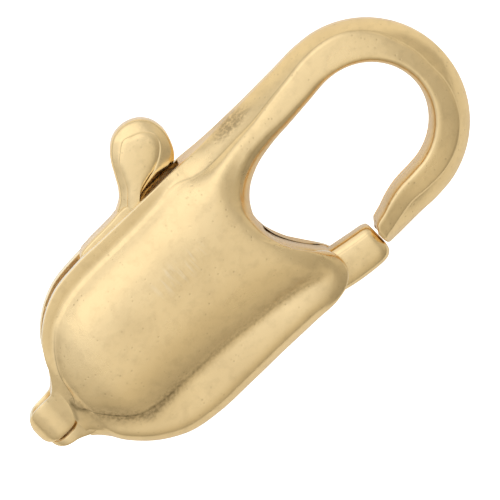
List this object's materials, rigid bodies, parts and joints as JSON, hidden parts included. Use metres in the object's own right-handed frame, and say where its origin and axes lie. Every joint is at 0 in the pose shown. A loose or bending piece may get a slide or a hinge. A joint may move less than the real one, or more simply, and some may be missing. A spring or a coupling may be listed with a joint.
{
  "type": "lobster clasp",
  "caption": "Gold lobster clasp for a necklace or bracelet: hollow domed body with a solid hook, a sprung thumb lever whose gate closes the hook, and a tail eye for a jump ring.",
  "frame": {"origin": "middle of the tail eye, on the axis of its bore and on the plane halfway between front and back", "axes": "+X from the tail eye to the crown of the hook, +Y toward the thumb knob and along the eye's bore, +Z out of the front cheek"},
  "size_m": [0.015, 0.0076, 0.0034],
  "materials": {
    "polished_gold": "polished pale yellow gold with fine pits and brush marks",
    "lever_gold": "polished pale yellow gold",
    "pin_gold": "drawn wire",
    "spring_steel": "bright strip"
  },
  "bodies": {
    "body": {"hook_body": "polished_gold", "pivot_pin": "pin_gold", "spring": "spring_steel"},
    "lever": {"thumb_lever": "lever_gold"}
  },
  "joints": [
    {"name": "lever_hinge", "type": "hinge", "parent": "body", "child": "lever", "pos_m": [0.00524, -0.00178, 0], "axis": [0, 0, 1], "range_deg": [0, 25], "stiffness_Nm_per_rad": 0.00008, "springref_deg": -14.32, "deforming": ["spring"]}
  ]
}
